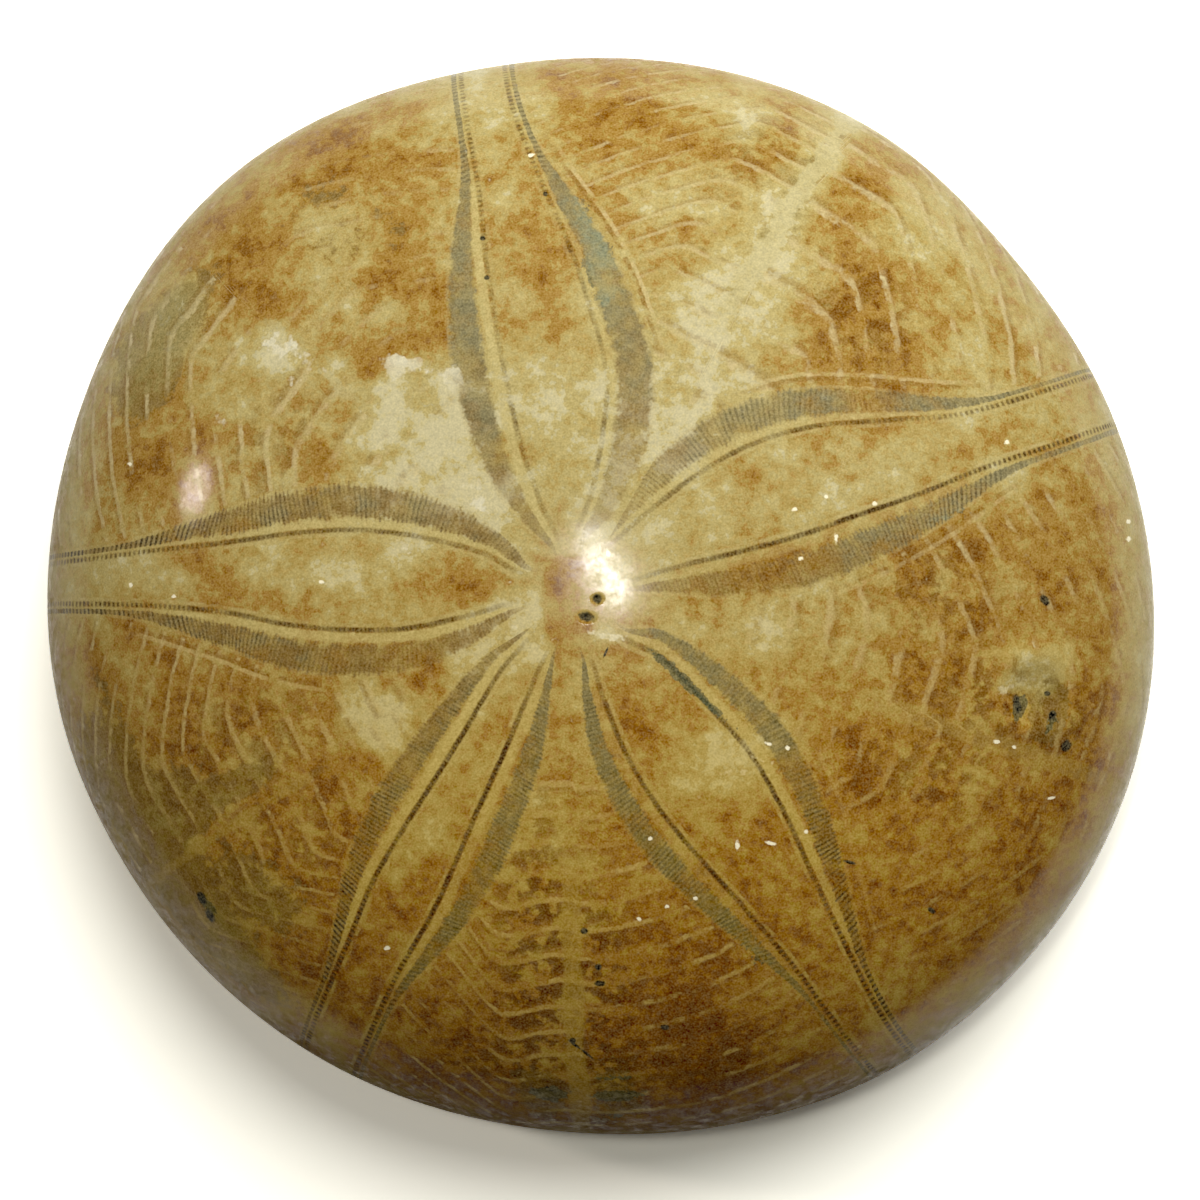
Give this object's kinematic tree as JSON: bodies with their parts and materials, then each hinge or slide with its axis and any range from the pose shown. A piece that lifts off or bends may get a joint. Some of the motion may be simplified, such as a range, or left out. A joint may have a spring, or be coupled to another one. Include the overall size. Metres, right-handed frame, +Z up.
{
  "type": "fossil sea urchin",
  "caption": "Polished fossil sea urchin, a low domed stone disc with a petal star on top and a hollow mouth below, that lies flat on its underside.",
  "frame": {"origin": "on the resting plane, under the middle of the outline", "axes": "+Z up through the apex, +Y towards the animal's front petal, +X to the right seen from above with the front away"},
  "size_m": [0.09, 0.0874, 0.028],
  "materials": {
    "polished_calcite": "polished"
  },
  "bodies": {
    "root": {"sea_urchin": "polished_calcite"}
  },
  "joints": []
}
